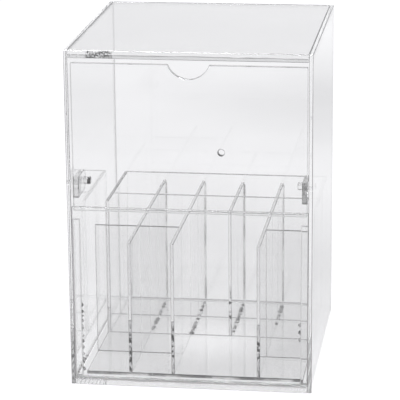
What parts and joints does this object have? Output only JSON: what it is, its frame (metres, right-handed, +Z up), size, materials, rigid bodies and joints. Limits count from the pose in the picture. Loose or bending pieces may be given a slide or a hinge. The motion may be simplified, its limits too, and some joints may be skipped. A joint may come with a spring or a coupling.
{
  "type": "makeup brush holder",
  "caption": "Tall clear sheet box for makeup brushes, with a drop-down upper front door on two side pins and a fixed egg-crate tray of upright compartments.",
  "frame": {"origin": "middle of the flat underside", "axes": "+Z up; +X to the right seen from the front; the door's front faces -Y"},
  "size_m": [0.18, 0.19, 0.255],
  "materials": {
    "case_acrylic": "clear, polished, colourless cast sheet",
    "door_acrylic": "clear, polished, colourless cast sheet",
    "tray_acrylic": "clear, polished, colourless cast sheet with sawn edges",
    "pin_acrylic": "clear turned rod"
  },
  "bodies": {
    "case": {"base_plate": "case_acrylic", "top_plate": "case_acrylic", "left_side_wall": "case_acrylic", "right_side_wall": "case_acrylic", "back_wall": "case_acrylic", "lower_front_panel": "case_acrylic", "left_corner_strip": "case_acrylic", "right_corner_strip": "case_acrylic", "left_hinge_pin": "pin_acrylic", "right_hinge_pin": "pin_acrylic", "tray_floor": "tray_acrylic", "tray_back_wall": "tray_acrylic", "tray_left_wall": "tray_acrylic", "tray_right_wall": "tray_acrylic", "long_divider_left": "tray_acrylic", "long_divider_centre": "tray_acrylic", "long_divider_right": "tray_acrylic", "short_divider": "tray_acrylic", "cross_divider_rear": "tray_acrylic", "cross_divider_middle": "tray_acrylic", "front_divider_left": "tray_acrylic", "front_divider_right": "tray_acrylic"},
    "door": {"door_panel": "door_acrylic", "left_hinge_ear": "door_acrylic", "right_hinge_ear": "door_acrylic"}
  },
  "joints": [
    {"name": "door_hinge", "type": "hinge", "parent": "case", "child": "door", "pos_m": [0, -0.068, 0.1515], "axis": [1, 0, 0], "range_deg": [0, 59]}
  ]
}
